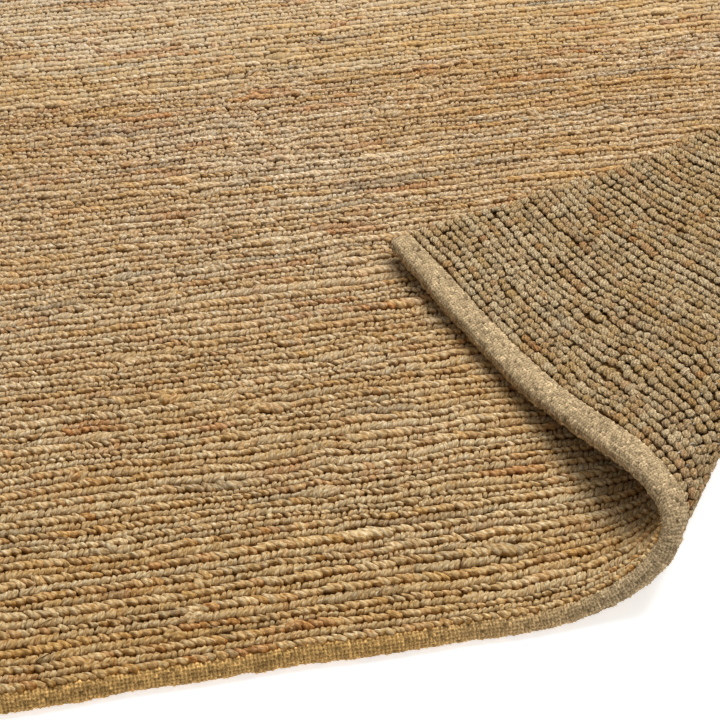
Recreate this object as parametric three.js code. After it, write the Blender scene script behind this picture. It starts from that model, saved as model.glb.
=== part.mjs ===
// Soumak rug lying on a floor, its near right corner turned over onto its face.
// Millimetres, +Z up. The rows of stitches run along X. The origin is on the floor,
// under the middle of the rug's outline.
import * as THREE from 'three';

// Driving dimensions
const WIDTH = 700;
const LENGTH = 1000;
const THICKNESS = 12;
const ROWS = 182;
const ROW_GROOVE = 1.5;
const EDGE_ROUND = 2.4;
const SIDE_WAVE = 2.2;

// The turned corner: how much of the near edge goes over, the fold lines' angle to that edge,
// and the bends that the cloth makes across the fold, each begun `start` past the first fold line.
const TURNED_EDGE = 414;
const FOLD_ANGLE = THREE.MathUtils.degToRad(53.6);
const BENDS = [
  { name: 'roll', start: 0, length: 160, turn: 134 },
  { name: 'crown', start: 65, length: 45, turn: 71 },
  { name: 'settle', start: 122, length: 150, turn: -27.2 },
];

// How finely the solid follows the fold, its edges and its back
const SECTION_STEP = 1;
const TURN_PER_FACET = THREE.MathUtils.degToRad(14);
const EDGE_STEP = 48;
const ROWS_PER_BACK_LINE = 3;

// The flat cloth is measured from the point where the near edge meets the first fold line:
// `along` runs to the right on the near edge, `up` runs away from that edge, and `high` is
// the height over the back.
const LEFT = TURNED_EDGE - WIDTH;
const RIGHT = TURNED_EDGE;
const COS = Math.cos(FOLD_ANGLE);
const SIN = Math.sin(FOLD_ANGLE);
const ORIGIN = new THREE.Vector3((LEFT + RIGHT) / 2, LENGTH / 2, 0);

// Distance past the first fold line, negative where the cloth lies flat
const pastFold = (along, up) => along * SIN - up * COS;

// How far the cloth has turned at a distance past the first fold line, in radians
function turnAt(past) {
  return BENDS.reduce((sum, bend) => {
    const share = THREE.MathUtils.smoothstep(past, bend.start, bend.start + bend.length);
    return sum + share * THREE.MathUtils.degToRad(bend.turn);
  }, 0);
}

// The section across the fold lines: the back's path, walked in small steps
function walkSection() {
  const reach = pastFold(RIGHT, 0);
  const path = [{ past: 0, out: 0, rise: 0 }];
  for (let past = 0; past < reach; past += SECTION_STEP) {
    const last = path[path.length - 1];
    const turn = turnAt(past + SECTION_STEP / 2);
    path.push({
      past: past + SECTION_STEP,
      out: last.out + SECTION_STEP * Math.cos(turn),
      rise: last.rise + SECTION_STEP * Math.sin(turn),
    });
  }
  return path;
}

const SECTION = walkSection();

// A point of the flat cloth, carried over the fold
function place(along, up, high) {
  const past = pastFold(along, up);
  let out = past;
  let rise = high;
  if (past > 0) {
    const index = Math.min(Math.floor(past / SECTION_STEP), SECTION.length - 2);
    const share = past / SECTION_STEP - index;
    const turn = turnAt(past);
    out = THREE.MathUtils.lerp(SECTION[index].out, SECTION[index + 1].out, share);
    rise = THREE.MathUtils.lerp(SECTION[index].rise, SECTION[index + 1].rise, share);
    out -= high * Math.sin(turn);
    rise += high * Math.cos(turn);
  }
  const foldwise = along * COS + up * SIN;
  const point = new THREE.Vector3(foldwise * COS + out * SIN, foldwise * SIN - out * COS, rise);
  return point.sub(ORIGIN);
}

// The lines on which the solid bends: a new one each time the cloth has turned enough
function foldLines() {
  const lines = [0];
  let turned = 0;
  for (let past = 0; past < pastFold(RIGHT, 0); past += SECTION_STEP) {
    turned += Math.abs(turnAt(past + SECTION_STEP) - turnAt(past));
    if (turned >= TURN_PER_FACET) {
      lines.push(past + SECTION_STEP);
      turned = 0;
    }
  }
  return lines;
}

const FOLD_LINES = foldLines();

// The edges wander inwards a little, as a hand-woven selvedge does
const wander = (distance) => SIDE_WAVE * (0.5 + 0.3 * Math.sin(distance / 41) + 0.2 * Math.sin(distance / 13));

// One line along the rows, from the left edge to the right one, with a point on each fold line
// and, on the rug's near and far edges, a point every EDGE_STEP of the flat stretch too
function rowLine(up, high, vertices, isEdge = false) {
  const start = LEFT + wander(up);
  const end = RIGHT - wander(up + LENGTH);
  const stops = FOLD_LINES.map((past) => (past + up * COS) / SIN);
  if (isEdge) {
    const flatEnd = Math.min(up * COS / SIN, end);
    for (let along = start + EDGE_STEP; along < flatEnd - EDGE_STEP / 2; along += EDGE_STEP) {
      stops.push(along);
    }
  }
  const inside = stops.filter((along) => along > start + 2 && along < end - 2);
  return [start, ...inside.sort((a, b) => a - b), end].map((along) => {
    const inward = isEdge ? wander(along + 2 * LENGTH) * (up < LENGTH / 2 ? 1 : -1) : 0;
    vertices.push(place(along, up + inward, high));
    return { index: vertices.length - 1, order: pastFold(along, up), up };
  });
}

// Triangles between two neighbouring lines of points, taken in the order of `key`
function zip(first, second, key, triangles) {
  let i = 0;
  let j = 0;
  while (i < first.length - 1 || j < second.length - 1) {
    const firstLeads = j === second.length - 1
      || (i < first.length - 1 && first[i + 1][key] <= second[j + 1][key]);
    const next = firstLeads ? first[i + 1] : second[j + 1];
    triangles.push(first[i].index, next.index, second[j].index);
    if (firstLeads) {
      i += 1;
    } else {
      j += 1;
    }
  }
}

// The face from hem to hem: a rounded edge, then a groove and a crest for each row
function faceLines(vertices) {
  const low = THICKNESS - ROW_GROOVE;
  const pitch = (LENGTH - 2 * EDGE_ROUND) / ROWS;
  const lines = [rowLine(0, EDGE_ROUND, vertices, true), rowLine(0, THICKNESS - EDGE_ROUND, vertices, true)];
  for (let row = 0; row < ROWS; row += 1) {
    const groove = EDGE_ROUND + row * pitch;
    lines.push(rowLine(groove, row === 0 ? THICKNESS - ROW_GROOVE / 2 : low, vertices));
    lines.push(rowLine(groove + pitch / 2, THICKNESS, vertices));
  }
  lines.push(rowLine(LENGTH - EDGE_ROUND, THICKNESS - ROW_GROOVE / 2, vertices));
  lines.push(rowLine(LENGTH, THICKNESS - EDGE_ROUND, vertices, true));
  lines.push(rowLine(LENGTH, EDGE_ROUND, vertices, true));
  return lines;
}

// The back, which is plain
function backLines(vertices) {
  const count = Math.round(ROWS / ROWS_PER_BACK_LINE);
  const pitch = (LENGTH - 2 * EDGE_ROUND) / count;
  return Array.from({ length: count + 1 }, (_, line) => rowLine(EDGE_ROUND + line * pitch, 0, vertices));
}

// The whole rug as one closed solid
function rugGeometry() {
  const vertices = [];
  const triangles = [];
  const face = faceLines(vertices);
  const back = backLines(vertices);
  for (let line = 0; line < face.length - 1; line += 1) {
    zip(face[line], face[line + 1], 'order', triangles);
  }
  for (let line = 0; line < back.length - 1; line += 1) {
    zip(back[line + 1], back[line], 'order', triangles);
  }
  zip(back[0], face[0], 'order', triangles);
  zip(face[face.length - 1], back[back.length - 1], 'order', triangles);
  const starts = (lines) => lines.map((line) => line[0]);
  const ends = (lines) => lines.map((line) => line[line.length - 1]);
  zip(starts(face), starts(back), 'up', triangles);
  zip(ends(back), ends(face), 'up', triangles);
  const geometry = new THREE.BufferGeometry().setFromPoints(vertices);
  geometry.setIndex(triangles);
  geometry.computeVertexNormals();
  return geometry;
}

const JUTE = new THREE.MeshStandardMaterial({ color: '#b08a58', roughness: 0.9, metalness: 0 });

const rug = new THREE.Mesh(rugGeometry(), JUTE);
rug.name = 'rug';

const group = new THREE.Group();
group.add(rug);

export default group;
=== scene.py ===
# %% [markdown]
# A soumak rug with one corner turned over onto its face. Soumak is a way of wrapping thick jute
# yarn round the warp, stitch by stitch and row by row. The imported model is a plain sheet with
# the right fold and size, and with a groove between every two rows. This lesson lays single
# stitches of yarn over it, on the face, on the back and round the edges, until it looks
# hand-woven.

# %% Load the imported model
import math

import bpy
import numpy as np
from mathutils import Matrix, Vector


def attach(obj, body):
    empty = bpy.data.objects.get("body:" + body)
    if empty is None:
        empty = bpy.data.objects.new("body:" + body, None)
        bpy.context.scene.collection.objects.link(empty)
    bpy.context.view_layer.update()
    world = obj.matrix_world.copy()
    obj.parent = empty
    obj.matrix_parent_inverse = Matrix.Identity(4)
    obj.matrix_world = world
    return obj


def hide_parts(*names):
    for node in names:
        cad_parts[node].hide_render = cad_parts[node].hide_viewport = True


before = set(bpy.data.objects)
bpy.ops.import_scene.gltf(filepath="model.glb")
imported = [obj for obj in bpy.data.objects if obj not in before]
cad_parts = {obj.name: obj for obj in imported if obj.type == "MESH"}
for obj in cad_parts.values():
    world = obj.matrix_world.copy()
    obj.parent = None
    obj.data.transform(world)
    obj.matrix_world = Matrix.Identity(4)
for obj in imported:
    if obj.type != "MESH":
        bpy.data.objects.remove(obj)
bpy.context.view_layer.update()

# %% [markdown]
# The camera comes first, so that everything after it can be judged in the picture. It stands
# in front of the near edge, a little to the left, and looks down by some 40 degrees through a
# long lens, as a product photographer would.

# %% Set the camera
CAMERA_PLACE = (-0.2633, -1.1283, 0.7241)
CAMERA_TURN = math.radians(-11.515)
CAMERA_DROP = math.radians(39.83)
CAMERA_LENS = 98.1
CAMERA_SENSOR = 36

lens = bpy.data.cameras.new("camera")
lens.sensor_width = CAMERA_SENSOR
lens.lens = CAMERA_LENS
camera = bpy.data.objects.new("camera", lens)
camera.location = CAMERA_PLACE
camera.rotation_euler = (math.pi / 2 - CAMERA_DROP, 0, CAMERA_TURN)
bpy.context.scene.collection.objects.link(camera)
bpy.context.scene.camera = camera
print("camera at", CAMERA_PLACE)

# %% [markdown]
# All lengths are in metres. The sizes below describe the rug spread flat: how many rows and
# stitches it has, how thick it is, and where its corner is folded. They repeat the sizes of
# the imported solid, because the yarn has to lie on exactly that surface.

# %% The rug's sizes
MM = 0.001
WIDTH = 700 * MM
LENGTH = 1000 * MM
THICKNESS = 12 * MM
ROWS = 182
STITCHES = 121
EDGE_ROUND = 2.4 * MM
SIDE_WAVE = 2.2 * MM
ROW_PITCH = (LENGTH - 2 * EDGE_ROUND) / ROWS
STITCH_PITCH = WIDTH / STITCHES

TURNED_EDGE = 414 * MM
FOLD_ANGLE = math.radians(53.6)
# Each bend starts so far past the first fold line, runs over a length and turns the cloth
BENDS = [
    {"start": 0 * MM, "length": 160 * MM, "turn": math.radians(134)},
    {"start": 65 * MM, "length": 45 * MM, "turn": math.radians(71)},
    {"start": 122 * MM, "length": 150 * MM, "turn": math.radians(-27.2)},
]
LEFT, RIGHT = TURNED_EDGE - WIDTH, TURNED_EDGE
print(f"rows {ROW_PITCH / MM:.2f} mm apart, stitches {STITCH_PITCH / MM:.2f} mm apart")

# %% [markdown]
# The fold is one curve, swept along straight lines: paper and cloth bend that way. The curve
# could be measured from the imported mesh, but one in numbers is smooth at any fineness. It is
# walked in small steps, and at each step the bends say how far the cloth has turned.

# %% Draw the fold's section
COS, SIN = math.cos(FOLD_ANGLE), math.sin(FOLD_ANGLE)
SECTION_STEP = 0.5 * MM
SECTION_SPARE = 20 * MM
section_past = np.arange(0, TURNED_EDGE * SIN + SECTION_SPARE, SECTION_STEP)


def turned(past):
    """The angle through which the cloth has turned at a distance past the first fold line."""
    total = np.zeros_like(past)
    for bend in BENDS:
        share = np.clip((past - bend["start"]) / bend["length"], 0, 1)
        # Eased in and out, so that no bend begins or ends with a kink
        total += bend["turn"] * share * share * (3 - 2 * share)
    return total


def walked(steps):
    """The running sum of the section's steps, from zero at the first fold line."""
    middles = (steps[1:] + steps[:-1]) / 2 * SECTION_STEP
    return np.concatenate([[0], np.cumsum(middles)])


section_turn = turned(section_past)
section_out = walked(np.cos(section_turn))
section_rise = walked(np.sin(section_turn))
print(f"the roll's back rises to {section_rise.max() / MM:.0f} mm")

# %% [markdown]
# A point of the flat rug lies so far `along` the rows, `up` from the near edge and `high` over
# the floor. `lay` walks it round the bend, whole arrays of points at once, which is what makes
# many thousand stitches quick to build. It also lets the rug's four edges wander inwards a
# little, as a hand-woven selvedge does.

# %% Carry flat points over the fold
MIDDLE = np.array([(LEFT + RIGHT) / 2, LENGTH / 2])
EDGE_REACH = 16 * MM


def stack(*parts):
    """Arrays side by side, as the last axis of one array."""
    return np.stack(parts, -1)


def past_fold(along, up):
    """How far a point of the flat rug lies past the first fold line."""
    return along * SIN - up * COS


def wander(distance):
    """How far an edge has wandered inwards: a long and a short wave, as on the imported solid."""
    millimetres = distance / MM
    return SIDE_WAVE * (0.5 + 0.3 * np.sin(millimetres / 41) + 0.2 * np.sin(millimetres / 13))


def near_edge(distance):
    """One at an edge, and falling to nothing a short way inside it."""
    return np.clip(1 - distance / EDGE_REACH, 0, 1)


def lay(flat):
    """Points of the flat rug, as rows of (along, up, high), where they lie on the floor."""
    along, up, high = flat[..., 0], flat[..., 1], flat[..., 2]
    # Each edge reads the waves at another place, so that no two edges wander alike
    inward_up = wander(along + 2 * LENGTH) * (near_edge(up) - near_edge(LENGTH - up))
    inward_left = wander(up) * near_edge(along - LEFT)
    inward_right = wander(up + LENGTH) * near_edge(RIGHT - along)
    along, up = along + inward_left - inward_right, up + inward_up
    past = past_fold(along, up)
    foldwise = along * COS + up * SIN
    turn = np.interp(past, section_past, section_turn)
    out = np.where(past < 0, past, np.interp(past, section_past, section_out))
    out = out - high * np.sin(turn)
    rise = np.interp(past, section_past, section_rise) + high * np.cos(turn)
    x = foldwise * COS + out * SIN - MIDDLE[0]
    y = foldwise * SIN - out * COS - MIDDLE[1]
    return stack(x, y, np.maximum(rise, 0))


print("the turned corner comes down at", lay(np.array([RIGHT, 0.0, 0.0])).round(3))

# %% [markdown]
# Hand-spun yarn is never even. What makes it so here is a smooth noise that runs far along the
# rows and hardly across them: a grid of random numbers, blurred by another reach each way.


# %% Smooth noise along the rows
def soft_noise(reach, seed, shape):
    """Random numbers on a grid, blurred over `reach` cells each way, with a spread of one."""
    grid = np.random.default_rng(seed).standard_normal(shape)
    across = np.fft.fftfreq(shape[0])[:, None] * reach[0]
    along = np.fft.fftfreq(shape[1])[None, :] * reach[1]
    blur = np.exp(-2 * np.pi**2 * (across**2 + along**2))
    grid = np.real(np.fft.ifft2(np.fft.fft2(grid) * blur))
    return (grid - grid.mean()) / grid.std()


# Two plies to a stitch, so two columns
COLUMNS = 2 * STITCHES
CLOTH = (ROWS, COLUMNS)
print(f"noise over {ROWS} rows and {COLUMNS} columns")

# %% [markdown]
# The noise sets each row's width, with a slub now and then, where the yarn was spun thick, or a
# pinch, where it is thin. The widths add up to the rows' edges, and what that sum drifts away
# by over many rows is taken out again, so that the rug stays straight.

# %% Where the rows run
# Only noise over this makes a slub or a pinch
RARE = 1.7
NARROWEST, WIDEST = 0.4, 2.1
swell = soft_noise((0.3, 14), 1, CLOTH) * 0.12 + soft_noise((0.3, 4), 2, CLOTH) * 0.14
slubs = np.clip(soft_noise((0.3, 2.2), 3, CLOTH) - RARE, 0, 1.2) * 0.9
pinches = np.clip(soft_noise((0.3, 3.0), 4, CLOTH) - RARE, 0, 1) * 0.7
row_share = np.clip(1 + swell + slubs - pinches, NARROWEST, WIDEST)

# What a wide, soft window still sees of the drift is the part to take out
DRIFT_REACH = 4.0
WINDOW = 12
drift = np.concatenate([np.zeros((1, COLUMNS)), np.cumsum(row_share - 1, 0) * ROW_PITCH])
weights = np.exp(-0.5 * (np.arange(-WINDOW, WINDOW + 1) / DRIFT_REACH) ** 2)
padded = np.pad(drift, ((WINDOW, WINDOW), (0, 0)), mode="edge")
shares = weights / weights.sum()
slow = sum(share * padded[k : k + ROWS + 1] for k, share in enumerate(shares))
print(f"slubs on {(slubs > 0).mean():.0%} of the rug, pinches on {(pinches > 0).mean():.0%}")

# %% [markdown]
# The rows also meander together, by about a millimetre, apart from those that the hems hold.
# All later steps ask these arrays where a row lies, how wide it is and which way it runs.

# %% Let the rows meander
HELD_ROWS = 3
THINNEST = 0.35 * ROW_PITCH
NET = (ROWS + 1, COLUMNS)
meander = (soft_noise((5, 20), 5, NET) * 1.2 + soft_noise((1.6, 8), 6, NET) * 0.6) * MM
row_number = np.arange(ROWS + 1)[:, None]
loose = np.clip(np.minimum(row_number, ROWS - row_number) / HELD_ROWS, 0, 1)
row_edge = EDGE_ROUND + row_number * ROW_PITCH + loose * (drift - slow + meander)
row_middle = (row_edge[1:] + row_edge[:-1]) / 2
row_width = np.maximum(row_edge[1:] - row_edge[:-1], THINNEST)
row_slope = np.arctan(np.gradient(row_middle, WIDTH / COLUMNS, axis=1))
column_along = LEFT + (np.arange(COLUMNS) + 0.5) * WIDTH / COLUMNS
print(f"rows are {row_width.min() / MM:.1f} to {row_width.max() / MM:.1f} mm wide")

# %% [markdown]
# Jute comes off the spindle in streaks: straw, gold, rust and grey, each a few stitches long.
# The face is more golden than the back. Further up it is paler and greyer, which is painted
# sheen, as fuzz shows it at a glancing angle. The colours are sRGB hex values, turned to linear
# light once.


# %% Yarn colours
def linear(hex_colour):
    """An sRGB hex colour as linear red, green and blue."""
    parts = np.array([int(hex_colour[k : k + 2], 16) / 255 for k in (1, 3, 5)])
    return np.where(parts <= 0.04045, parts / 12.92, ((parts + 0.055) / 1.055) ** 2.4)


FACE_YARN = {"straw": "#dfc79e", "gold": "#cda66b", "rust": "#ba7638", "grey": "#ac9c80"}
BACK_YARN = {"straw": "#d1b789", "gold": "#be9b63", "rust": "#ad753d", "grey": "#9e8a68"}
NEAR_WARMTH = np.array([1.0, 1.04, 0.93])
FAR_WARMTH = np.array([0.95, 1.05, 1.22])
PAINTED_SHEEN_FULL_FROM_ROW = 120
# Painted shade down a stitch's flanks and painted highlight on its crown: what it keeps of its
# colour there. Deep between the yarns only warm light is left
FLANK_PAINTED_SHADE = np.array([0.61, 0.37, 0.03])
CROWN_PAINTED_LIGHT = np.array([0.93, 0.965, 1.10])
print("yarn colours:", FACE_YARN, BACK_YARN)

# %% [markdown]
# Every stitch takes one colour, mixed from the palette by smooth noises and a little chance of
# its own. A noise in the material would run across the stitches, and real yarn doesn't.

# %% Colour each stitch
STRONGEST_TINT = 0.8
streak = soft_noise((0.3, 8), 11, CLOTH)
cloud = soft_noise((9, 22), 14, CLOTH)


def patches(reach, seed):
    """Nothing over most of the rug, and up to one in a few places."""
    return np.clip(soft_noise(reach, seed, CLOTH) - 0.9, 0, 1.4) / 1.4


rusty = patches((0.3, 5), 12)
greyish = patches((0.3, 7), 13)


def yarn_colour(yarn, row, column, rng, mottle=1.0):
    """The colour of each stitch, from the streaks where it lies and a chance of its own."""
    straw, gold, rust, grey = map(linear, yarn.values())
    count = len(row)
    pale = 0.5 + streak[row, column] * 0.15 + cloud[row, column] * 0.14
    pale = pale + rng.normal(0, 0.2, count) * mottle
    red = rusty[row, column] * 0.5 + rng.normal(-0.04, 0.17, count) * mottle
    dull = greyish[row, column] * 0.6 + rng.normal(-0.08, 0.16, count) * mottle
    colour = gold + (straw - gold) * np.clip(pale, 0, 1)[:, None]
    colour = colour + (rust - colour) * np.clip(red, 0, STRONGEST_TINT)[:, None]
    colour = colour + (grey - colour) * np.clip(dull, 0, STRONGEST_TINT)[:, None]
    # Painted sheen: further up, the face grows paler and greyer, as fuzz looks at a glancing angle
    if yarn is FACE_YARN:
        painted_far_sheen = np.clip(row / PAINTED_SHEEN_FULL_FROM_ROW, 0, 1)[:, None]
        colour = colour * (NEAR_WARMTH + (FAR_WARMTH - NEAR_WARMTH) * painted_far_sheen)
    return colour * rng.uniform(0.9, 1.08, count)[:, None]


print(f"{(rusty > 0).mean():.0%} of the rug has a touch of rust, {(greyish > 0).mean():.0%} of grey")

# %% [markdown]
# The stitches are modelled with Blender's tools, but copied as plain arrays of numbers, which
# is far faster than copying objects. On the way a form is made fuller towards its ends, and
# each corner learns how far round and along the yarn it is.

# %% Read a form as arrays
FULLNESS = 0.62
# Round the yarn the crown counts from nought to one, and the belly has a strip beyond it
BELLY_STRIP, STRIPS_END = 1.1, 1.15


def form_arrays(mesh):
    """A form's points and faces, and for each corner how far round and along the yarn it is."""
    points = np.empty(len(mesh.vertices) * 3)
    mesh.vertices.foreach_get("co", points)
    points = points.reshape(-1, 3)
    radius = np.hypot(points[:, 1] * 2, points[:, 2])
    fuller = np.where(radius > 0.01, np.maximum(radius, 0.01) ** (FULLNESS - 1), 1)
    points[:, 1:] *= fuller[:, None]
    points[:, 0] = 0.5 * np.sign(points[:, 0]) * np.abs(2 * points[:, 0]) ** FULLNESS
    # A cut leaves the faces in another order each time, so they are sorted
    faces = sorted(list(face.vertices) for face in mesh.polygons)
    corners = np.concatenate(faces)
    starts = np.cumsum([0] + [len(face) for face in faces[:-1]])
    round_yarn = np.arctan2(points[corners, 2], points[corners, 1] * 2) / math.pi
    is_tip = np.abs(points[corners, 0]) > 0.499
    for start, end in zip(starts, [*starts[1:], len(corners)]):
        face, tip = slice(start, end), is_tip[start:end]
        if np.abs(points[corners[face], 2]).max() < 0.001:
            round_yarn[face] = BELLY_STRIP + 0.1 * points[corners[face], 1]
        elif tip.any():
            # A tip is nowhere round the yarn, so it takes the middle of its own face
            round_yarn[face] = np.where(tip, round_yarn[face][~tip].mean(), round_yarn[face])
    yarn = stack(round_yarn / STRIPS_END, points[corners, 0] + 0.5)
    return {"points": points, "corners": corners, "starts": starts, "yarn": np.clip(yarn, 0, 1)}


# %% [markdown]
# One stitch is a plump little loaf of yarn with a flat belly, because its underside is buried
# in the cloth. It starts as a sphere on its side and is cut in half. A shape that is repeated
# thousands of times must have few faces, so it is modelled at a few levels of fineness, and
# the stitches close to the camera get the finer ones.


# %% Model one stitch
def half_loaf(name, facets, rings):
    """A stitch one unit long along X, one wide and one high, as plain arrays."""
    bpy.ops.object.select_all(action="DESELECT")
    bpy.ops.mesh.primitive_uv_sphere_add(segments=2 * facets, ring_count=rings, radius=1)
    loaf = bpy.context.active_object
    bpy.ops.object.mode_set(mode="EDIT")
    bpy.ops.mesh.select_all(action="SELECT")
    bpy.ops.transform.rotate(value=math.pi / 2, orient_axis="Y", center_override=(0, 0, 0))
    bpy.ops.transform.resize(value=(0.5, 0.5, 1))
    bpy.ops.mesh.bisect(plane_co=(0, 0, 0), plane_no=(0, 0, 1), use_fill=True, clear_inner=True)
    bpy.ops.mesh.select_all(action="SELECT")
    bpy.ops.mesh.normals_make_consistent(inside=False)
    bpy.ops.object.mode_set(mode="OBJECT")
    form = form_arrays(loaf.data)
    bpy.data.objects.remove(loaf)
    triangles = len(form["corners"]) - 2 * len(form["starts"])
    print(f"{name}: {len(form['points'])} points, {triangles} triangles")
    return form


def turned_over(form):
    """The same form with its crown downwards."""
    return {**form, "points": form["points"] * np.array([1, -1, -1])}


def stood_up(form, side):
    """The same form stood on end, with its crown to the right, or to the left for side -1."""
    x, y, z = form["points"].T
    return {**form, "points": stack(z * side, y, -x * side)}


FINE = half_loaf("fine stitch", 4, 5)
PLAIN = half_loaf("plain stitch", 4, 4)
SLIM = half_loaf("slim stitch", 3, 4)
COARSE = half_loaf("coarse stitch", 3, 3)

# %% [markdown]
# A piece of cloth is one mesh that joins many copies of these forms. A colour rides along with
# every point, and so do two UV maps. `yarn` measures millimetres round and along the yarn, for
# the fibres. `OFBake` gives each copy a small cell of its own, which a baked picture of the
# material needs.


# %% Make a mesh from arrays
def joined(name, points, corners, starts, uv_maps, colour):
    """One smooth mesh object from arrays."""
    mesh = bpy.data.meshes.new(name)
    mesh.vertices.add(len(points))
    mesh.vertices.foreach_set("co", points.ravel())
    mesh.loops.add(len(corners))
    mesh.loops.foreach_set("vertex_index", corners.astype(np.int32))
    mesh.polygons.add(len(starts))
    mesh.polygons.foreach_set("loop_start", starts.astype(np.int32))
    mesh.update(calc_edges=True)
    for map_name, uv in uv_maps.items():
        mesh.uv_layers.new(name=map_name)
        mesh.uv_layers[map_name].uv.foreach_set("vector", uv.astype(np.float32).ravel())
    tint = mesh.color_attributes.new(name="yarn_colour", type="FLOAT_COLOR", domain="POINT")
    rgba = np.c_[colour, np.ones(len(colour))].astype(np.float32)
    tint.data.foreach_set("color", rgba.ravel())
    mesh.polygons.foreach_set("use_smooth", np.ones(len(starts), bool))
    piece = bpy.data.objects.new(name, mesh)
    bpy.context.scene.collection.objects.link(piece)
    print(f"{name}: {len(corners) - 2 * len(starts)} triangles")
    return piece


# %% [markdown]
# A batch says where the copies of one form go: place, size, turn about the upright, and tip
# from end to end. Some are also fatter at one end, or sway in a flat S. The whole array is
# carried over the fold at once. A stitch has a painted highlight on its crown and painted shade
# down its flanks, set by how far up a point is.

# %% Join many copies into one piece
# How far hand-spun yarn swells and thins, at each point of a stitch
LUMPS = 0.2 * MM
# Under one, so that only the lowest part of the flanks is dark with painted shade
SHADE_CURVE = 0.6
CELL_MARGIN, CELL_FILL = 0.06, 0.88
# Round its crown a yarn measures so many times its width
CROWN_ARC = 1.6
# The stretch of fibres, in millimetres, in which each copy has a place of its own
FIBRE_FIELD = 400


def spun(first, second, angle):
    """Two coordinates of each copy, turned by an angle of its own."""
    cos, sin = np.cos(angle)[:, None], np.sin(angle)[:, None]
    return first * cos - second * sin, first * sin + second * cos


def own_cells(copy, copies, place):
    """Each copy's places, from nought to one, in a cell of its own on a square map."""
    cells = math.ceil(math.sqrt(copies))
    in_cell = stack(copy % cells, copy // cells) + CELL_MARGIN + CELL_FILL * place
    return (in_cell / cells).reshape(-1, 2)


def placed(batch):
    """The flat points of a batch's copies, one block of points to a copy."""
    local = batch["form"]["points"][None] * batch["size"][:, None, :]
    local = local + np.random.default_rng(local.shape[0]).normal(0, LUMPS, local.shape)
    endwise = 2 * batch["form"]["points"][:, 0]
    none = np.zeros(len(local))
    local[..., 1:] *= 1 + (batch.get("taper", none)[:, None] * endwise)[..., None]
    local[..., 1] += batch.get("sway", none)[:, None] * endwise**3
    x, z = spun(local[..., 0], local[..., 2], batch["tip"])
    x, y = spun(x, local[..., 1], batch["turn"])
    return stack(x, y, z) + batch["place"][:, None, :]


def woven(name, batches):
    """One mesh object that joins all the copies of some batches."""
    copies = sum(len(batch["place"]) for batch in batches)
    parts = []
    done = points_done = corners_done = 0
    rng = np.random.default_rng(len(name))
    for batch in batches:
        form, count = batch["form"], len(batch["place"])
        copy = np.arange(count)[:, None]
        girth_length = batch["size"][:, [1, 0]] / MM * np.array([CROWN_ARC, 1.0])
        offset = rng.uniform(0, FIBRE_FIELD, (count, 1, 2))
        # Painted light and shade: a highlight on each stitch's crown, shade down its flanks
        painted_lightness = np.clip(batch.get("painted_lightness", np.abs(form["points"][:, 2])), 0, 1)
        painted_light_and_shade = FLANK_PAINTED_SHADE + (CROWN_PAINTED_LIGHT - FLANK_PAINTED_SHADE) * painted_lightness[..., None] ** SHADE_CURVE
        parts.append((
            lay(placed(batch)).reshape(-1, 3),
            (form["corners"] + copy * len(form["points"]) + points_done).ravel(),
            (form["starts"] + copy * len(form["corners"]) + corners_done).ravel(),
            (form["yarn"] * girth_length[:, None, :] + offset).reshape(-1, 2),
            own_cells(done + copy, copies, form["yarn"]),
            (batch["colour"][:, None, :] * painted_light_and_shade).reshape(-1, 3),
        ))
        done += count
        points_done += count * len(form["points"])
        corners_done += count * len(form["corners"])
    points, corners, starts, yarn, bake, colour = map(np.concatenate, zip(*parts))
    return joined(name, points, corners, starts, {"yarn": yarn, "OFBake": bake}, colour)


# %% [markdown]
# The rows come in pairs that lean opposite ways, so that two rows read as one plait. In a
# wrapped row the two plies of the yarn lie side by side, steep, like thread on a reel. In a
# rope row each stitch is one long, slim strand. It comes up from under the last stitch, crosses
# its row aslant, and ends thick over the seam.

# %% The two kinds of row
DOME = 3.2 * MM
# `reach` is the length of a stitch to its row's width, `crest` its height over the cloth, `tip`
# how far one end is lifted, `taper` how much fatter that end is, and `sway` how far the ends
# bend towards the row. The key for the notches sets how dark the painted shade in the gaps between
# stitches is
WRAPPED = {
    "spacing": 2.9 * MM, "lean": math.radians(72), "reach": 1.0, "girth": 4.8 * MM,
    "crest": 0.1 * MM, "tip": 0.03, "taper": 0.0, "sway": -0.5 * MM,
    "mottle": 0.65, "painted_notch_shade": 0.45, "tone": 0.95,
}
ROPE = {
    "spacing": 4.85 * MM, "lean": math.radians(-44), "reach": 1.64, "girth": 4.3 * MM,
    "crest": 0.6 * MM, "tip": 0.15, "taper": 0.14, "sway": 0.7 * MM,
    "mottle": 1.0, "painted_notch_shade": 0.9, "tone": 1.12,
}


def chosen_stitches(rows, spacing, span):
    """The row, nearest column and place along the row of each stitch in a span past the fold line."""
    places = np.arange(LEFT + 0.4 * spacing, RIGHT - 0.3 * spacing, spacing)
    row, along = (grid.ravel() for grid in np.meshgrid(rows, places, indexing="ij"))
    column = np.clip(((along - LEFT) / WIDTH * COLUMNS).astype(int), 0, COLUMNS - 1)
    past = past_fold(along, row_middle[row, column])
    picked = (past > span[0]) & (past <= span[1])
    return row[picked], column[picked], along[picked]


print(f"rope strands {ROPE['spacing'] / MM} mm apart, wrapped plies {WRAPPED['spacing'] / MM} mm")

# %% [markdown]
# Where a row is wide its yarn is plump. All other differences between stitches are chance,
# drawn with `rng.normal(mean, spread, count)`. The further back a row is, the less the lens
# makes out of its narrow gaps, so the painted shade on its flanks gets weaker, row by row.

# %% Spin the yarn of a row
SOFTEST = 0.85
SHARP_ROWS = 25
SOFTENING_ROWS = 115


def plumpness(width):
    """How much plumper the yarn is in a row of some width than in an even row."""
    return (width / ROW_PITCH - 1) * 0.5


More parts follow.
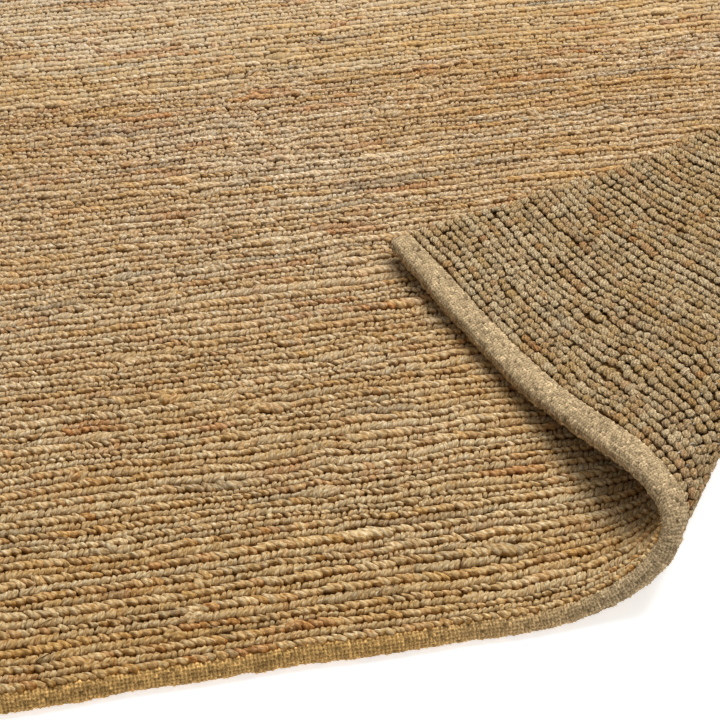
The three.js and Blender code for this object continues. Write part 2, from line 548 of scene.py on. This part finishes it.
def face_yarn(kind, rows, span, form, rng):
    """The yarn of all stitches in rows of one kind."""
    row, column, along = chosen_stitches(rows, kind["spacing"], span)
    count = len(row)
    width = row_width[row, column] * rng.normal(1, 0.05, count)
    plump = plumpness(width)
    along = along + rng.normal(0, 0.3, count) * MM
    dome = DOME * np.clip(1 + plump * 0.7 + rng.normal(0, 0.06, count), 0.6, 1.5)
    crest = THICKNESS + kind["crest"] + plump * 1.5 * MM + rng.normal(0, 0.17, count) * MM
    girth = kind["girth"] * np.clip(1 + plump, 0.8, 1.4) * rng.normal(1, 0.12, count)
    softness = SOFTEST * np.clip((row - SHARP_ROWS) / SOFTENING_ROWS, 0, 1)
    # Painted shade down the flanks of each stitch, darkest in the notches between stitches
    painted_notch_shade = kind["painted_notch_shade"] + (1 - kind["painted_notch_shade"]) * (2 * form["points"][:, 0]) ** 2
    painted_flank_shade = (1 - np.abs(form["points"][:, 2])) * painted_notch_shade
    mottle = kind["mottle"] * (1 - 0.4 * softness)
    return {
        "form": form,
        "place": stack(along, row_middle[row, column], crest - dome),
        "size": stack(width * kind["reach"], girth, dome),
        "turn": kind["lean"] + row_slope[row, column] + rng.normal(0, 0.11, count),
        "tip": kind["tip"] + rng.normal(0, 0.06, count),
        "taper": np.full(count, kind["taper"]),
        "sway": kind["sway"] * rng.normal(1, 0.4, count),
        "painted_lightness": 1 - (1 - softness)[:, None] * painted_flank_shade,
        "colour": yarn_colour(FACE_YARN, row, column, rng, mottle) * kind["tone"],
    }


# %% [markdown]
# The face is laid in bands of rows, so that each mesh has fewer than 200,000 triangles. The
# bands further from the camera have coarser stitches, and so has the face of the turned
# corner, which is all but hidden.

# %% Lay the stitches of the face
ROLL_END = 95 * MM
IN_SIGHT, OUT_OF_SIGHT = (-math.inf, ROLL_END), (ROLL_END, math.inf)


def rows_from(first, last, odd):
    """Every second row number: the even ones, or the odd ones."""
    return np.arange(first + (odd - first) % 2, last, 2)


# Name, first row, row to stop before, forms of the rope rows and the wrapped rows, and span
FACE_BANDS = [
    ("face_near", 0, 30, PLAIN, SLIM, IN_SIGHT),
    ("face_next", 30, 60, PLAIN, SLIM, IN_SIGHT),
    ("face_middle", 60, 94, SLIM, COARSE, IN_SIGHT),
    ("far_rows", 94, 128, SLIM, COARSE, IN_SIGHT),
    ("far_end", 128, ROWS, COARSE, COARSE, IN_SIGHT),
    ("face_turned_in", 0, 140, COARSE, COARSE, OUT_OF_SIGHT),
]
weave = []
for seed, (name, first, last, rope, wrapped, span) in enumerate(FACE_BANDS, 20):
    rng = np.random.default_rng(seed)
    weave.append(woven(name, [
        face_yarn(ROPE, rows_from(first, last, 0), span, rope, rng),
        face_yarn(WRAPPED, rows_from(first, last, 1), span, wrapped, rng),
    ]))

# %% [markdown]
# On the back each stitch shows as one bead, where the yarn passes under the warp. The beads of
# the turned corner are in full view. Those on the floor are small pyramids, one for every
# three stitches.

# %% Lay the beads of the back
BEAD_LENGTH = 6.1 * MM
BEAD_DOME = 2.068 * MM
BEAD_EVENNESS = 0.45
BEAD_SHIFT = 1.2 * MM
TURNED_UP = 20 * MM
ON_FLOOR, ON_TURNED_CORNER = (-math.inf, TURNED_UP), (TURNED_UP, math.inf)


def cut_bead():
    """The plainest bead: a pyramid of six triangles."""
    points = np.array([[-0.5, 0, 0], [0, -0.5, 0], [0.5, 0, 0], [0, 0.5, 0], [0, 0, 1.0]])
    corners = np.array([0, 1, 4, 1, 2, 4, 2, 3, 4, 3, 0, 4, 3, 2, 1, 0])
    starts = np.array([0, 3, 6, 9, 12])
    yarn = np.clip(points[corners, :2] + 0.5, 0, 1)
    return {"points": points, "corners": corners, "starts": starts, "yarn": yarn}


def beads(form, span, rng, stitches=1):
    """One bead for each stitch, or for a few stitches, on the back."""
    row, column, along = chosen_stitches(np.arange(2, ROWS - 2), STITCH_PITCH * stitches, span)
    count = len(row)
    width = (1 - BEAD_EVENNESS) * row_width[row, column] + BEAD_EVENNESS * ROW_PITCH
    width = width * rng.normal(1, 0.05, count)
    plump = plumpness(width)
    # Painted shade: the seams to the next rows are darker than the notches between two beads
    painted_seam_shade = np.clip(0.22 + 0.5 * (2 * form["points"][:, 1]) ** 2, 0, 1)
    along = along + row % 2 * BEAD_SHIFT + rng.normal(0, 0.4, count) * MM
    dome = BEAD_DOME * np.clip(1 + plump * 0.5 + rng.normal(0, 0.07, count), 0.6, 1.4)
    level = 0.2 * MM - plump * 1.2 * MM + rng.normal(0, 0.2, count) * MM
    length = BEAD_LENGTH * stitches * rng.normal(1, 0.1, count)
    return {
        "form": form,
        "place": stack(along, row_middle[row, column], level + dome),
        "size": stack(length, width * 1.1, dome),
        "turn": 0.14 + row_slope[row, column] + rng.normal(0, 0.2, count),
        "tip": rng.normal(-0.08, 0.08, count),
        "painted_lightness": 1 - (1 - np.abs(form["points"][:, 2])) * painted_seam_shade,
        "colour": yarn_colour(BACK_YARN, row, column, rng, 1.3),
    }


rng = np.random.default_rng(40)
weave.append(woven("back_turned_up", [beads(turned_over(PLAIN), ON_TURNED_CORNER, rng)]))
weave.append(woven("back_on_floor", [beads(turned_over(cut_bead()), ON_FLOOR, rng, 3)]))

# %% [markdown]
# At the two sides the yarn turns round the last warp and goes back. Each row shows there as
# two upright loops over the rug's thickness.

# %% Turn the rows at the sides
SIDE_DEPTH = 4.2 * MM
SIDE_HEIGHT = 10.6 * MM
SIDE_MIDDLE = 6.2 * MM
SIDE_SHARE = 0.72


def side_turns(side, rng):
    """Two loops for each row on the right side, or on the left one for side -1."""
    row = np.repeat(np.arange(ROWS), 2)
    count = len(row)
    column = np.full(count, COLUMNS - 1 if side > 0 else 0)
    width = row_width[row, column]
    up = row_middle[row, column] + np.tile([-0.25, 0.25], ROWS) * width
    tall = SIDE_HEIGHT * rng.normal(1, 0.05, count)
    edge = RIGHT if side > 0 else LEFT
    along = edge - side * SIDE_DEPTH + side * rng.normal(0, 0.25, count) * MM
    return {
        "form": stood_up(COARSE, side),
        "place": stack(along, up, np.full(count, SIDE_MIDDLE)),
        "size": stack(np.full(count, SIDE_DEPTH), width * SIDE_SHARE, tall),
        "turn": rng.normal(0, 0.06, count),
        "tip": rng.normal(0, 0.06, count),
        # Painted shade down the loops' flanks, lighter than on the face
        "painted_lightness": 0.4 + 0.6 * np.abs(COARSE["points"][:, 2]),
        "colour": yarn_colour(FACE_YARN, row, column, rng),
    }


rng = np.random.default_rng(50)
weave.append(woven("side_turns", [side_turns(1, rng), side_turns(-1, rng)]))

# %% [markdown]
# Where one length of yarn ends, the weaver lays the next one beside it, and the two make a
# thick knob in the row: three untidy plies, fatter than a stitch. At the turned-up corner the
# last end is tied in a small knot of a few more.

# %% Lay the yarn joins and the corner's knot
JOINS = 210
KNOB_PLACES = [-3.2, 0.2, 3.4]
KNOB_LEANS = [-0.7, 0.5, 0.9]
KNOB_DOME = 4.0 * MM
KNOT_PLIES = 8


def yarn_joins(rng):
    """Fat, untidy plies over some stitches of the face, three to a knob."""
    plies = len(KNOB_PLACES)
    row = np.repeat(rng.integers(1, ROWS - 1, JOINS), plies)
    column = np.repeat(rng.integers(4, COLUMNS - 4, JOINS), plies)
    count = len(row)
    place = np.tile(KNOB_PLACES, JOINS) * MM
    along = column_along[column] + place + rng.normal(0, 0.7, count) * MM
    up = row_middle[row, column] + rng.normal(0, 0.9, count) * MM
    lean = np.repeat(rng.choice(KNOB_LEANS, JOINS), plies)
    dome = KNOB_DOME * rng.normal(1, 0.1, count)
    crest = THICKNESS + 1.4 * MM + rng.normal(0, 0.25, count) * MM
    length, girth = rng.uniform(6.5, 9.5, count) * MM, rng.uniform(3.8, 5.6, count) * MM
    return {
        "form": FINE,
        "place": stack(along, up, crest - dome),
        "size": stack(length, girth, dome),
        "turn": lean + rng.normal(0, 0.25, count),
        "tip": rng.normal(0, 0.12, count),
        "sway": rng.normal(0, 0.5, count) * MM,
        "colour": yarn_colour(FACE_YARN, row, column, rng),
    }


def corner_knot(rng):
    """The yarn's end, tied in a small knot at the turned-up corner of the rug."""
    row, column = np.zeros(KNOT_PLIES, int), np.full(KNOT_PLIES, COLUMNS - 1)
    centre = np.array([RIGHT, 3 * MM, 5 * MM])
    return {
        "form": FINE,
        "place": centre + rng.normal(0, 1.3, (KNOT_PLIES, 3)) * MM,
        "size": rng.uniform((5.5, 3.2, 3.0), (8.0, 4.2, 3.8), (KNOT_PLIES, 3)) * MM,
        "turn": rng.uniform(0, math.pi, KNOT_PLIES),
        "tip": rng.normal(0, 0.5, KNOT_PLIES),
        # Only a little painted shade on the knot's plies
        "painted_lightness": 0.6 + 0.4 * np.abs(FINE["points"][:, 2]),
        "colour": yarn_colour(BACK_YARN, row, column, rng),
    }


rng = np.random.default_rng(55)
weave.append(woven("face_joins", [yarn_joins(rng), corner_knot(rng)]))

# %% [markdown]
# Round the outside of the fold the rows are pulled apart, and short bits of the pale warp show
# between them.

# %% Bare the warp round the fold
WARP_BITS = 260
WARP_YARN = "#e6dcc4"
WARP_BIT_SIZE = np.array([3.4, 1.1, 1.7]) * MM
BARE_FROM, BARE_TO = 52 * MM, 112 * MM
BARE_ROWS = (4, 52)


def bare_warp(rng):
    """Short pale threads in the gaps between the beads, round the outside of the fold."""
    row = rng.integers(*BARE_ROWS, 12 * WARP_BITS)
    column = rng.integers(0, COLUMNS, 12 * WARP_BITS)
    past = past_fold(column_along[column], row_edge[row, column])
    seen = np.flatnonzero((past > BARE_FROM) & (past < BARE_TO))[:WARP_BITS]
    row, column = row[seen], column[seen]
    count = len(row)
    high = np.full(count, 2.2 * MM)
    return {
        "form": turned_over(COARSE),
        "place": stack(column_along[column], row_edge[row, column], high),
        "size": WARP_BIT_SIZE * rng.uniform(0.7, 1.2, (count, 1)),
        "turn": math.pi / 2 + rng.normal(0, 0.15, count),
        "tip": rng.normal(0, 0.05, count),
        "colour": linear(WARP_YARN) * rng.uniform(0.7, 1.05, (count, 1)),
    }


weave.append(woven("back_bare_warp", [bare_warp(rng)]))

# %% [markdown]
# Jute sheds. Loose fibres lie over the rows, each one a thin bowed thread whose ends are caught
# between the stitches. They are what makes the cloth look dry and hairy from close by. Hair
# isn't exported, so a fibre is a tube with three sides, thicker than a real one so that it
# shows.

# %% Bow the stray fibres
STRAYS = 420
STRAY_STEPS = 6
STRAY_SIDES = 3
STRAY_INSET = 15 * MM


def fibre_spines(rng):
    """The points along each fibre on the flat rug, and the direction across it at each."""
    along = rng.uniform(LEFT + STRAY_INSET, RIGHT - STRAY_INSET, STRAYS)
    up = rng.uniform(0.01, 0.99, STRAYS) * LENGTH
    on_back = past_fold(along, up) > TURNED_UP
    reach = rng.uniform(7, 22, STRAYS) * MM
    share = np.linspace(-1, 1, STRAY_STEPS)[None, :]
    bow = rng.normal(0, 0.7, (STRAYS, 1))
    heading = rng.normal(0, 0.6, (STRAYS, 1)) + bow * share
    step = reach[:, None] / (STRAY_STEPS - 1)
    x = along[:, None] + np.cumsum(np.cos(heading) * step, 1) - reach[:, None] / 2
    y = up[:, None] + np.cumsum(np.sin(heading) * step, 1)
    rise = (1 - share**4) * rng.uniform(0.9, 1.9, (STRAYS, 1)) * MM - 1.2 * MM
    high = np.where(on_back[:, None], -rise + 0.1 * MM, THICKNESS + 0.4 * MM + rise)
    spine = stack(x, np.clip(y, 2 * MM, LENGTH - 2 * MM), high)
    return spine, stack(-np.sin(heading), np.cos(heading), np.zeros_like(heading))


def with_caps(quads, caps):
    """The corners of a tube's quads and of its two caps, and where each face starts."""
    starts = [*range(0, quads.size, 4), quads.size, quads.size + len(caps[0])]
    return np.concatenate([quads.ravel(), *caps]), np.array(starts)


def fibre_faces():
    """The faces of one fibre, as `with_caps` gives them."""
    index = np.arange(STRAY_STEPS * STRAY_SIDES).reshape(STRAY_STEPS, STRAY_SIDES)
    a, b = index[:-1], index[1:]
    quads = stack(a, np.roll(a, -1, 1), np.roll(b, -1, 1), b).reshape(-1, 4)
    return with_caps(quads, [index[0][::-1], index[-1]])


# %% Scatter them over the rug
def stray_fibres():
    """Thin bowed threads with three sides, on the face and on the turned-up back."""
    rng = np.random.default_rng(58)
    spine, across = fibre_spines(rng)
    upright = np.array([0, 0, 1.0])
    thick = rng.uniform(0.12, 0.24, (STRAYS, 1, 1)) * MM
    angles = np.arange(STRAY_SIDES) * math.tau / STRAY_SIDES
    ring = [spine + (math.cos(a) * across + math.sin(a) * upright) * thick for a in angles]
    flat = np.stack(ring, 2).reshape(STRAYS, -1, 3)
    one, one_starts = fibre_faces()
    copy = np.arange(STRAYS)[:, None]
    corners = (one + copy * STRAY_STEPS * STRAY_SIDES).ravel()
    starts = (one_starts + copy * len(one)).ravel()
    place = stack(one // STRAY_SIDES / STRAY_STEPS, one % STRAY_SIDES / STRAY_SIDES)
    bake = own_cells(copy, STRAYS, place)
    pale = rng.random(STRAYS) < 0.6
    tint = np.where(pale[:, None], linear("#eadbb8"), linear("#6f4f2c"))
    tint = np.repeat(tint * rng.uniform(0.8, 1.1, (STRAYS, 1)), STRAY_STEPS * STRAY_SIDES, 0)
    uv_maps = {"yarn": bake * 200, "OFBake": bake}
    return joined("stray_fibres", lay(flat).reshape(-1, 3), corners, starts, uv_maps, tint)


weave.append(stray_fibres())

# %% [markdown]
# The warp ends are woven into a narrow plain band, which is turned under and stitched. It
# covers the whole thickness of the near and far edges and a finger's breadth of the back. The
# band is one strip that follows a rounded section.

# %% Draw the hem's section
HEM_CELL = 2.0 * MM
# The far hem is out of the picture and gets coarser cells
FAR_HEM_CELL = 3.2 * MM
# From under the last row, over the edge and onto the back: up and high
HEM_SECTION = np.array([
    (6.5, 8.4), (3.4, 10.4), (0.8, 10.3), (-1.2, 9.2), (-2.6, 7.4),
    (-3.2, 5.4), (-3.0, 3.4), (-2.0, 1.6), (-0.2, 0.4), (2.6, -0.2),
    (6.0, -0.5), (10.0, -0.4), (12.8, 0.2), (14.2, 1.6), (14.6, 3.4),
]) * MM


def resampled(path, step):
    """Points at even steps along a path."""
    lengths = np.concatenate([[0], np.cumsum(np.linalg.norm(np.diff(path, axis=0), axis=1))])
    at = np.linspace(0, lengths[-1], int(round(lengths[-1] / step)) + 1)
    return stack(*(np.interp(at, lengths, path[:, k]) for k in range(2)))


def outwards(section):
    """The direction out of the hem at each point of its section."""
    tangent = np.gradient(section, axis=0)
    outward = stack(tangent[:, 1], -tangent[:, 0])
    return outward / np.linalg.norm(outward, axis=1, keepdims=True)


print(f"the hem's section is {len(resampled(HEM_SECTION, HEM_CELL / 2))} points round")

# %% [markdown]
# A plain weave is a chequerboard of small bumps, so the strip has a point in the middle of each
# cell and one on each border. The hem is ochre along the near edge, duller and lumpier where
# the corner is turned up, and rounded off at its two ends.

# %% Weave the hem's cells
CELL_CHANCE = 0.24
WEAVE_RELIEF = 0.8 * MM
# The gap colour is painted shade in the hollows between the cells
HEM_OCHRE, HEM_TAUPE, HEM_GAP_SHADE = "#cda566", "#b5a07c", "#684820"
FAR_HEM_TAUPE = 0.6
HEM_END = 5 * MM


def plain_weave(shape, seed):
    """Whether each point's cell goes over, how near its middle it is, and the cell's chance."""
    i, j = np.meshgrid(np.arange(shape[0]), np.arange(shape[1]), indexing="ij")
    cell_i, cell_j = i // 2, j // 2
    rng = np.random.default_rng(seed)
    chance = rng.normal(0, CELL_CHANCE, (cell_i.max() + 1, cell_j.max() + 1))[cell_i, cell_j]
    return (cell_i + cell_j) % 2, (i % 2) * 0.55 + (j % 2) * 0.45, chance


def hem_lift(over, middle, chance, turned_up, seed):
    """How far each point stands out: the weave, some lumps and a little fuzz."""
    relief = (middle * (0.75 + 0.25 * over) + chance * middle - 0.5) * WEAVE_RELIEF
    lumps = soft_noise((9, 5), seed + 1, over.shape) * (0.08 + 0.12 * turned_up)
    return relief + (lumps + soft_noise((1.2, 1.2), seed + 2, over.shape) * 0.2) * MM


def hem_tint(over, middle, chance, turned_up, far):
    """The colour of each point: yarn in a cell's middle, and painted shade in the gap at its border.
    """
    ochre, taupe, gap = linear(HEM_OCHRE), linear(HEM_TAUPE), linear(HEM_GAP_SHADE)
    share = np.maximum(turned_up, FAR_HEM_TAUPE if far else 0)
    thread = ochre + (taupe - ochre) * share[..., None]
    lightness = (1.0 + 0.1 * over + chance * 1.2)[..., None]
    filled = np.clip(middle + 0.12 + 0.16 * turned_up, 0, 1)[..., None]
    tint = gap + (thread * lightness - gap) * filled
    # The two caps take the colour next to them, or they would be dark discs
    tint[0], tint[-1] = tint[1], tint[-2]
    return tint.reshape(-1, 3)


# %% Close the strip into a mesh
STRIP_BANDS = 24


def strip_cells(uv):
    """Folds a long strip's map into bands, one over the other, so that it fills a square."""
    place = np.clip(uv[:, 0], 0, 0.9999) * STRIP_BANDS
    band = np.floor(place)
    return stack(place - band, (band + 0.05 + 0.9 * uv[:, 1]) / STRIP_BANDS)


def strip_faces(columns, ring, far):
    """The faces of a hem, as `with_caps` gives them."""
    index = np.arange(columns * ring).reshape(columns, ring)
    a, b = index[:-1], index[1:]
    quads = stack(a, b, np.roll(b, -1, 1), np.roll(a, -1, 1)).reshape(-1, 4)
    caps = [index[0], index[-1][::-1]]
    if far:
        # The far hem is a mirror image, so its faces are turned round
        quads, caps = quads[:, ::-1], [cap[::-1] for cap in caps]
    return with_caps(quads, caps)


def hem(name, far, cell, seed):
    """The woven band along one end of the rug, closed on its inner side."""
    section = resampled(HEM_SECTION, cell / 2)
    outward = outwards(section)
    along = np.arange(LEFT + 0.8 * MM, RIGHT - 0.8 * MM, cell / 2)
    columns, ring = len(along), len(section)
    past = past_fold(along, LENGTH if far else 0)
    turned_up = np.clip((past + 40 * MM) / (90 * MM), 0, 1)[:, None]
    cells = plain_weave((columns, ring), seed)
    lift = hem_lift(*cells, turned_up, seed)
    to_end = np.minimum(along - along[0], along[-1] - along)[:, None]
    shrink = 1 - 0.3 * np.clip(1 - to_end / HEM_END, 0, 1) ** 2
    centre = section.mean(0)
    up = centre[0] + (section[None, :, 0] - centre[0]) * shrink + outward[None, :, 0] * lift
    high = centre[1] + (section[None, :, 1] - centre[1]) * shrink + outward[None, :, 1] * lift
    across = np.repeat(along[:, None], ring, 1)
    flat = stack(across, LENGTH - up if far else up, high)
    corners, starts = strip_faces(columns, ring, far)
    uv = stack(along[corners // ring] / MM, (corners % ring) * cell / 2 / MM)
    bake = strip_cells(stack((corners // ring) / columns, (corners % ring) / ring))
    return joined(name, lay(flat).reshape(-1, 3), corners, starts,
                  {"yarn": uv, "OFBake": bake}, hem_tint(*cells, turned_up, far))


weave.append(hem("hem_near", False, HEM_CELL, 60))
weave.append(hem("hem_far", True, FAR_HEM_CELL, 62))

# %% [markdown]
# Between the stitches one sees into the ground, where the warp lies. Its dark brown is painted
# shade, the dark of the gaps. It is a closed sheet inside the rug, a little smaller all round.

# %% Lay the ground under the stitches
GROUND_TOP = 9.8 * MM
GROUND_BOTTOM = 2.8 * MM
GROUND_INSET = 3.0 * MM
# Painted shade: the dark brown seen in the gaps between stitches
GROUND_PAINTED_SHADE = "#4c3210"
# Where the corner folds, right of one line and below the other
FOLDS_FROM = -10 * MM
FOLDS_UP_TO = 580 * MM


def ground():
    """A closed sheet, with more points where the corner folds."""
    along = np.concatenate([
        np.linspace(LEFT + GROUND_INSET, FOLDS_FROM, 10, endpoint=False),
        np.linspace(FOLDS_FROM, RIGHT - GROUND_INSET, 58),
    ])
    up = np.concatenate([
        np.linspace(GROUND_INSET, FOLDS_UP_TO, 74, endpoint=False),
        np.linspace(FOLDS_UP_TO, LENGTH - GROUND_INSET, 12),
    ])
    columns, rows = len(along), len(up)
    a, u = np.meshgrid(along, up)
    top = stack(a, u, np.full_like(a, GROUND_TOP)).reshape(-1, 3)
    bottom = stack(a, u, np.full_like(a, GROUND_BOTTOM)).reshape(-1, 3)
    index = np.arange(columns * rows).reshape(rows, columns)
    sheet = stack(index[:-1, :-1], index[:-1, 1:], index[1:, 1:], index[1:, :-1]).reshape(-1, 4)
    rim = np.concatenate([index[0, :-1], index[:-1, -1], index[-1, :0:-1], index[:0:-1, 0]])
    ahead = np.roll(rim, -1)
    wall = stack(rim, rim + index.size, ahead + index.size, ahead)
    quads = np.concatenate([sheet, sheet[:, ::-1] + index.size, wall])
    corners = quads.ravel()
    flat = np.concatenate([top, bottom])
    uv = flat[corners, :2] / MM
    # The top takes the lower half of the baked picture, and the bottom the upper half
    bake = (flat[corners, :2] - np.array([LEFT, 0])) / LENGTH * 0.48
    bake[:, 1] += np.where(corners < index.size, 0.01, 0.5)
    tint = np.tile(linear(GROUND_PAINTED_SHADE), (len(flat), 1))
    starts = np.arange(len(quads)) * 4
    return joined("ground", lay(flat), corners, starts, {"yarn": uv, "OFBake": bake}, tint)


cloth = ground()

# %% [markdown]
# Jute is a stiff, dull bast fibre. Spun by hand it stays hairy: fibres run along the yarn, a
# few dark or pale ones stand out, and there is next to no shine. Single fibres, a twentieth of
# a millimetre thick, are too fine to show, so the streaks are as coarse as bundles of them.


# %% Add a node
def node(tree, kind, inputs=None, **settings):
    """Adds a node with its settings, and sets or links its inputs."""
    made = tree.nodes.new(kind)
    for setting, value in settings.items():
        setattr(made, setting, value)
    for key, value in (inputs or {}).items():
        if isinstance(value, bpy.types.NodeSocket):
            tree.links.new(value, made.inputs[key])
        else:
            made.inputs[key].default_value = value
    return made


# %% Spin the jute
# How wide and long the streaks are, in millimetres, along a yarn, on a bead and on the hem
YARN_STREAK = (0.8, 3.5)
BACK_STREAK = (0.6, 1.2)
HEM_STREAK = (0.8, 1.2)
# The fibres run a little aslant, and the plies cross the yarn with a dark line of painted shade
# between them
FIBRE_ANGLE = math.radians(14)
PLY_ANGLE = math.radians(38)
# A wave texture repeats about every third of a unit, so this makes one wave to a ply
ONE_WAVE = 0.32


def jute(name, bump_height, fibres, streak, ply_width, ply_relief, groove_shade):
    """Hand-spun jute: dull and dry, with streaks of fibre and painted shade between its plies."""
    material = bpy.data.materials.new(name)
    material.use_nodes = True
    tree = material.node_tree
    shader = tree.nodes["Principled BSDF"]
    shader.inputs["Roughness"].default_value = 0.82
    shader.inputs["Specular IOR Level"].default_value = 0.06
    tint = node(tree, "ShaderNodeAttribute", attribute_name="yarn_colour")
    yarn = node(tree, "ShaderNodeUVMap", uv_map="yarn")
    along = node(tree, "ShaderNodeMapping", {
        "Vector": yarn.outputs["UV"],
        "Rotation": (0, 0, FIBRE_ANGLE),
        "Scale": (1 / streak[0], 1 / streak[1], 1),
    })
    streaks = node(tree, "ShaderNodeTexNoise", {
        "Vector": along.outputs[0], "Scale": 1.0, "Detail": 3.0, "Roughness": 0.68,
    })
    level = node(tree, "ShaderNodeMapRange", {
        "Vector": streaks.outputs[0], "From Min": (0.3,) * 3, "From Max": (0.68,) * 3,
        "To Min": fibres[0], "To Max": fibres[1],
    }, data_type="FLOAT_VECTOR")
    twisted = node(tree, "ShaderNodeMapping", {
        "Vector": yarn.outputs["UV"],
        "Rotation": (0, 0, PLY_ANGLE),
        "Scale": (1 / ply_width, 1 / ply_width, 1),
    })
    plies = node(tree, "ShaderNodeTexWave", {
        "Vector": twisted.outputs[0], "Scale": ONE_WAVE,
        "Distortion": 2.4, "Detail": 2.0, "Detail Scale": 1.5,
    })
    groove = node(tree, "ShaderNodeMapRange", {
        "Vector": plies.outputs["Fac"], "From Min": (0.0,) * 3, "From Max": (0.42,) * 3,
        "To Min": groove_shade, "To Max": (1.05,) * 3,
    }, data_type="FLOAT_VECTOR")
    lit = node(tree, "ShaderNodeVectorMath", {
        0: tint.outputs["Color"], 1: level.outputs["Vector"],
    }, operation="MULTIPLY")
    lined = node(tree, "ShaderNodeVectorMath", {
        0: lit.outputs[0], 1: groove.outputs["Vector"],
    }, operation="MULTIPLY")
    tree.links.new(lined.outputs[0], shader.inputs["Base Color"])
    height = node(tree, "ShaderNodeMath", {
        0: plies.outputs["Fac"], 1: ply_relief, 2: streaks.outputs[0],
    }, operation="MULTIPLY_ADD")
    bump = node(tree, "ShaderNodeBump", {
        "Height": height.outputs[0], "Strength": 0.7, "Distance": bump_height,
    })
    tree.links.new(bump.outputs[0], shader.inputs["Normal"])
    return material


# %% [markdown]
# The same fibre has four finishes. The face's yarn has long streaks and clear plies. The back
# is hairy, so that every bead is mottled with short fibres, dark and pale. The hem has been
# rubbed until it felted, and has short streaks and no plies. In the far rows a fibre is finer
# than the picture's dots, so the yarn is drawn softer there, with the same mean.

# %% Finish each piece
# What the darkest and the palest fibres make of the yarn's colour
FACE_FIBRES = ((0.48, 0.30, 0.08), (1.11, 1.15, 1.26))
FAR_FIBRES = ((0.72, 0.57, 0.34), (0.93, 0.95, 0.99))
BACK_FIBRES = ((0.06, 0.03, 0.01), (1.44, 1.50, 1.56))
HEM_FIBRES = ((0.28, 0.20, 0.11), (1.60, 1.66, 1.74))
FINISHES = {
    "hem": jute("felted_jute_hem", 1.1 * MM, HEM_FIBRES, HEM_STREAK,
                ply_width=2.0, ply_relief=0.0, groove_shade=(1, 1, 1)),
    "back": jute("hairy_jute_back", 0.9 * MM, BACK_FIBRES, BACK_STREAK,
                 ply_width=2.4, ply_relief=1.0, groove_shade=(0.78, 0.68, 0.52)),
    "far": jute("hand_spun_jute_far_off", 0.3 * MM, FAR_FIBRES, YARN_STREAK,
                ply_width=3.4, ply_relief=1.0, groove_shade=(0.88, 0.82, 0.72)),
    "face": jute("hand_spun_jute", 0.6 * MM, FACE_FIBRES, YARN_STREAK,
                 ply_width=3.4, ply_relief=1.0, groove_shade=(0.78, 0.70, 0.56)),
}
# A piece's name begins with its finish, and a piece without one is finished as the face is
for piece in [*weave, cloth]:
    finish = piece.name.split("_")[0]
    piece.data.materials.append(FINISHES.get(finish, FINISHES["face"]))
    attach(piece, "root")
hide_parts("rug")
print(f"{len(weave) + 1} pieces in {len(FINISHES)} finishes")

# %% [markdown]
# The rug lies on a white table that gives a little light of its own, so that only a faint
# shade is left where the rug touches it.

# %% Set the table
bpy.ops.mesh.primitive_plane_add(size=30)
floor = bpy.context.active_object
floor.name = "white_table"
paper = bpy.data.materials.new("lit_white_table")
paper.use_nodes = True
paper_shader = paper.node_tree.nodes["Principled BSDF"]
paper_shader.inputs["Base Color"].default_value = (0.9, 0.9, 0.9, 1)
paper_shader.inputs["Roughness"].default_value = 0.9
paper_shader.inputs["Emission Color"].default_value = (1, 1, 1, 1)
paper_shader.inputs["Emission Strength"].default_value = 0.6
floor.data.materials.append(paper)
print("the rug lies on", floor.name)

# %% [markdown]
# The sky is dim, and brighter overhead, as a studio's ceiling is. It puts a little light into
# the seams. To the camera alone it is white, so that a low view has no dark backdrop.

# %% Light the sky
SKY_OVERHEAD = 0.4
scene = bpy.context.scene
scene.view_settings.view_transform = "Standard"
scene.world = bpy.data.worlds.new("studio")
scene.world.use_nodes = True
sky_tree = scene.world.node_tree
sky = sky_tree.nodes["Background"]
direction = node(sky_tree, "ShaderNodeTexCoord")
upwards = node(sky_tree, "ShaderNodeSeparateXYZ", {0: direction.outputs["Generated"]})
ceiling = node(sky_tree, "ShaderNodeMapRange", {
    "Value": upwards.outputs["Z"],
    "From Min": 0.0, "From Max": 0.9, "To Min": 0.0, "To Max": SKY_OVERHEAD,
})
seen = node(sky_tree, "ShaderNodeLightPath")
strength = node(sky_tree, "ShaderNodeMath", {
    0: ceiling.outputs[0], 1: seen.outputs["Is Camera Ray"],
}, operation="MAXIMUM")
sky_tree.links.new(strength.outputs[0], sky.inputs["Strength"])
sky.inputs["Color"].default_value = (1, 1, 1, 1)
print("sky strength from 0 at the horizon to", SKY_OVERHEAD)

# %% [markdown]
# The main lamp is large and soft. It hangs high behind the rug, to the right, so that the near
# side of every row lies in shade, which is what makes the rows stand out. A weak fill from the
# front keeps that shade from going black.


# %% Hang the lamps
def soft_lamp(name, place, aim, size, power):
    """A square area lamp at a place, turned towards a point."""
    light = bpy.data.lights.new(name, "AREA")
    light.size = size
    light.energy = power
    lamp = bpy.data.objects.new(name, light)
    lamp.location = place
    lamp.rotation_euler = (Vector(aim) - Vector(place)).to_track_quat("-Z", "Y").to_euler()
    scene.collection.objects.link(lamp)
    print(f"{name}: {power} W from {place}")


soft_lamp("main_lamp", place=(0.6, 0.72, 2.2), aim=(0, 0, 0), size=1.8, power=97)
soft_lamp("front_fill", place=(-0.5, -2.0, 1.2), aim=(0, 0, 0), size=2.0, power=4)
